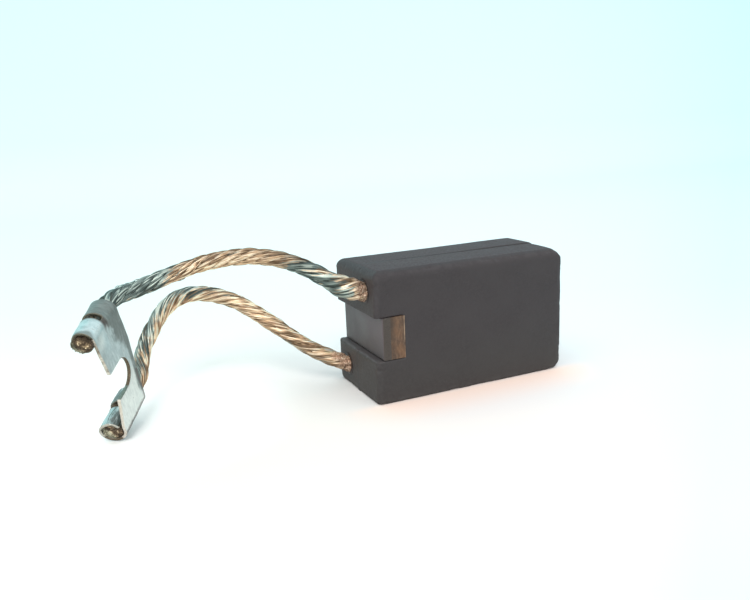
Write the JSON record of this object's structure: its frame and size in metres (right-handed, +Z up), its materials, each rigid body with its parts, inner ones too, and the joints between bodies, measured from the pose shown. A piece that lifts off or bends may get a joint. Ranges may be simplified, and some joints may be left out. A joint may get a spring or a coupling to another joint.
{
  "type": "split carbon brush with shunts and fork terminal",
  "caption": "Carbon brush of two thin wafers with a padded end notch, twisted copper shunts and a crimped fork terminal.",
  "frame": {"origin": "middle of the carbon block's underside, on the seam between the two wafers", "axes": "+X along the block towards the commutator, the shunts leave its -X end; +Y through its thickness towards the rear wafer; +Z up"},
  "size_m": [0.0735, 0.023, 0.0238],
  "materials": {
    "carbon": "matte",
    "plate": "matte",
    "pad": "matte",
    "copper_powder": "matte",
    "copper_cord": "satin",
    "tinned_sheet": "satin"
  },
  "bodies": {
    "root": {"carbon_wafer_front": "carbon", "carbon_wafer_rear": "carbon", "pressure_plate": "plate", "damping_pad": "pad", "tamping_plug_upper": "copper_powder", "tamping_plug_lower": "copper_powder", "shunt_upper": "copper_cord", "shunt_lower": "copper_cord", "terminal_lug": "tinned_sheet"}
  },
  "joints": []
}
